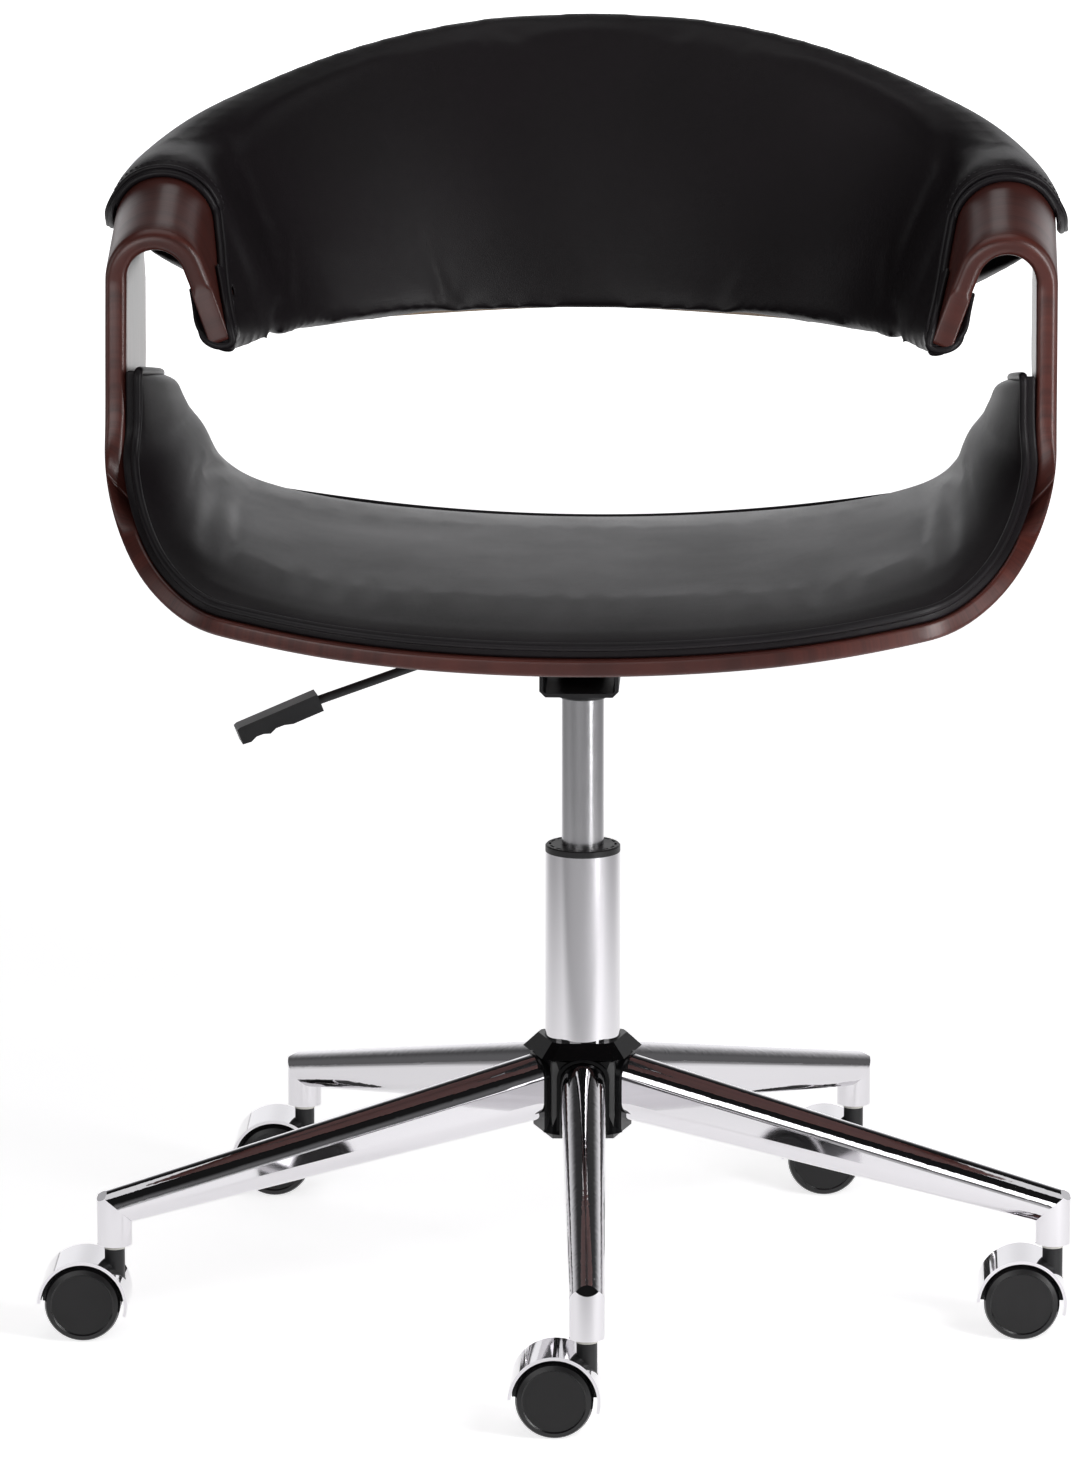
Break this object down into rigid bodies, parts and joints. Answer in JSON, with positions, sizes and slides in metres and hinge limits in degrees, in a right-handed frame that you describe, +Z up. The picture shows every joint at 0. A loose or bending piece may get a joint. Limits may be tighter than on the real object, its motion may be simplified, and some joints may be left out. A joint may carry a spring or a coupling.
{
  "type": "office chair",
  "caption": "Swivel office chair: bent plywood seat shell and arched arms, padded wrap-round back, gas height column, chromed star base on twin-wheel castors",
  "frame": {"origin": "on the floor under the column's axis", "axes": "+Z up along the column, -Y the way the sitter faces, +X the sitter's left"},
  "size_m": [0.6812, 0.6427, 0.8325],
  "materials": {
    "chrome": "polished chrome plate",
    "hub_steel": "black paint on steel",
    "gloss_black": "gloss black moulding",
    "black_plastic": "fine-grained black moulding",
    "satin_steel": "ground steel",
    "zinc_steel": "zinc-plated steel",
    "nylon": "natural nylon",
    "bump_rubber": "matte rubber",
    "black_steel": "black powder coat",
    "walnut_ply": "dark walnut veneer, satin lacquer",
    "plain_ply": "plain beech plywood",
    "leatherette": "black leatherette, fine grain",
    "wheel_nylon": "black nylon, glossy rim"
  },
  "bodies": {
    "base": {"hub_core": "hub_steel", "hub_cover": "gloss_black", "leg_front": "chrome", "leg_front_left": "chrome", "leg_rear_left": "chrome", "leg_rear_right": "chrome", "leg_front_right": "chrome", "column_tube": "chrome", "guide_bush": "black_plastic", "thrust_bearing": "zinc_steel", "stem_sleeves": "nylon"},
    "swivel": {"piston_rod": "satin_steel", "retaining_clip": "zinc_steel", "bump_stop": "bump_rubber"},
    "seat": {"gas_cylinder": "satin_steel", "cylinder_holder": "black_steel", "seat_channel": "black_steel", "channel_bolts": "zinc_steel", "lever_pin": "zinc_steel", "seat_shell": "walnut_ply", "arm_left": "walnut_ply", "arm_right": "walnut_ply", "arm_dowels": "plain_ply", "back_core": "plain_ply", "back_upholstery": "leatherette", "back_bolts": "zinc_steel", "seat_pad": "leatherette"},
    "lever": {"lever_rod": "black_steel", "lever_grip": "black_plastic"},
    "release": {"release_pin": "zinc_steel"},
    "castor_front": {"stem_front": "zinc_steel", "castor_body_front": "black_plastic", "castor_hood_front": "chrome", "axle_front": "zinc_steel"},
    "wheel_front_a": {"wheel_front_a": "wheel_nylon"},
    "wheel_front_b": {"wheel_front_b": "wheel_nylon"},
    "castor_front_left": {"stem_front_left": "zinc_steel", "castor_body_front_left": "black_plastic", "castor_hood_front_left": "chrome", "axle_front_left": "zinc_steel"},
    "wheel_front_left_a": {"wheel_front_left_a": "wheel_nylon"},
    "wheel_front_left_b": {"wheel_front_left_b": "wheel_nylon"},
    "castor_rear_left": {"stem_rear_left": "zinc_steel", "castor_body_rear_left": "black_plastic", "castor_hood_rear_left": "chrome", "axle_rear_left": "zinc_steel"},
    "wheel_rear_left_a": {"wheel_rear_left_a": "wheel_nylon"},
    "wheel_rear_left_b": {"wheel_rear_left_b": "wheel_nylon"},
    "castor_rear_right": {"stem_rear_right": "zinc_steel", "castor_body_rear_right": "black_plastic", "castor_hood_rear_right": "chrome", "axle_rear_right": "zinc_steel"},
    "wheel_rear_right_a": {"wheel_rear_right_a": "wheel_nylon"},
    "wheel_rear_right_b": {"wheel_rear_right_b": "wheel_nylon"},
    "castor_front_right": {"stem_front_right": "zinc_steel", "castor_body_front_right": "black_plastic", "castor_hood_front_right": "chrome", "axle_front_right": "zinc_steel"},
    "wheel_front_right_a": {"wheel_front_right_a": "wheel_nylon"},
    "wheel_front_right_b": {"wheel_front_right_b": "wheel_nylon"}
  },
  "joints": [
    {"name": "seat_turn", "type": "hinge", "parent": "base", "child": "swivel", "pos_m": [0, 0, 0.13], "axis": [0, 0, 1], "continuous": true},
    {"name": "seat_lift", "type": "slide", "parent": "swivel", "child": "seat", "axis": [0, 0, 1], "range_m": [-0.085, 0.015]},
    {"name": "lever_tilt", "type": "hinge", "parent": "seat", "child": "lever", "pos_m": [-0.034, 0, 0.465], "axis": [0, 1, 0], "range_deg": [0, 6], "stiffness_Nm_per_rad": 1, "springref_deg": -2.86},
    {"name": "pin_press", "type": "slide", "parent": "seat", "child": "release", "axis": [0, 0, -1], "range_m": [0, 0.0037]},
    {"name": "castor_turn_front", "type": "hinge", "parent": "base", "child": "castor_front", "pos_m": [0.01251, -0.32576, 0.06], "axis": [0, 0, 1], "continuous": true},
    {"name": "wheel_roll_front_a", "type": "hinge", "parent": "castor_front", "child": "wheel_front_a", "pos_m": [-0.00779, -0.33926, 0.025], "axis": [0, 1, 0], "continuous": true},
    {"name": "wheel_roll_front_b", "type": "hinge", "parent": "castor_front", "child": "wheel_front_b", "pos_m": [-0.00779, -0.31226, 0.025], "axis": [0, 1, 0], "continuous": true},
    {"name": "castor_turn_front_left", "type": "hinge", "parent": "base", "child": "castor_front_left", "pos_m": [-0.30595, -0.11257, 0.06], "axis": [0, 0, 1], "continuous": true},
    {"name": "wheel_roll_front_left_a", "type": "hinge", "parent": "castor_front_left", "child": "wheel_front_left_a", "pos_m": [-0.32625, -0.12607, 0.025], "axis": [0, 1, 0], "continuous": true},
    {"name": "wheel_roll_front_left_b", "type": "hinge", "parent": "castor_front_left", "child": "wheel_front_left_b", "pos_m": [-0.32625, -0.09907, 0.025], "axis": [0, 1, 0], "continuous": true},
    {"name": "castor_turn_rear_left", "type": "hinge", "parent": "base", "child": "castor_rear_left", "pos_m": [-0.2016, 0.25619, 0.06], "axis": [0, 0, 1], "continuous": true},
    {"name": "wheel_roll_rear_left_a", "type": "hinge", "parent": "castor_rear_left", "child": "wheel_rear_left_a", "pos_m": [-0.2219, 0.24269, 0.025], "axis": [0, 1, 0], "continuous": true},
    {"name": "wheel_roll_rear_left_b", "type": "hinge", "parent": "castor_rear_left", "child": "wheel_rear_left_b", "pos_m": [-0.2219, 0.26969, 0.025], "axis": [0, 1, 0], "continuous": true},
    {"name": "castor_turn_rear_right", "type": "hinge", "parent": "base", "child": "castor_rear_right", "pos_m": [0.18135, 0.2709, 0.06], "axis": [0, 0, 1], "continuous": true},
    {"name": "wheel_roll_rear_right_a", "type": "hinge", "parent": "castor_rear_right", "child": "wheel_rear_right_a", "pos_m": [0.16105, 0.2574, 0.025], "axis": [0, 1, 0], "continuous": true},
    {"name": "wheel_roll_rear_right_b", "type": "hinge", "parent": "castor_rear_right", "child": "wheel_rear_right_b", "pos_m": [0.16105, 0.2844, 0.025], "axis": [0, 1, 0], "continuous": true},
    {"name": "castor_turn_front_right", "type": "hinge", "parent": "base", "child": "castor_front_right", "pos_m": [0.31368, -0.08876, 0.06], "axis": [0, 0, 1], "continuous": true},
    {"name": "wheel_roll_front_right_a", "type": "hinge", "parent": "castor_front_right", "child": "wheel_front_right_a", "pos_m": [0.29338, -0.10226, 0.025], "axis": [0, 1, 0], "continuous": true},
    {"name": "wheel_roll_front_right_b", "type": "hinge", "parent": "castor_front_right", "child": "wheel_front_right_b", "pos_m": [0.29338, -0.07526, 0.025], "axis": [0, 1, 0], "continuous": true}
  ],
  "couplings": [
    {"joint": "pin_press", "follows": "lever_tilt", "m_per_rad": 0.034}
  ]
}
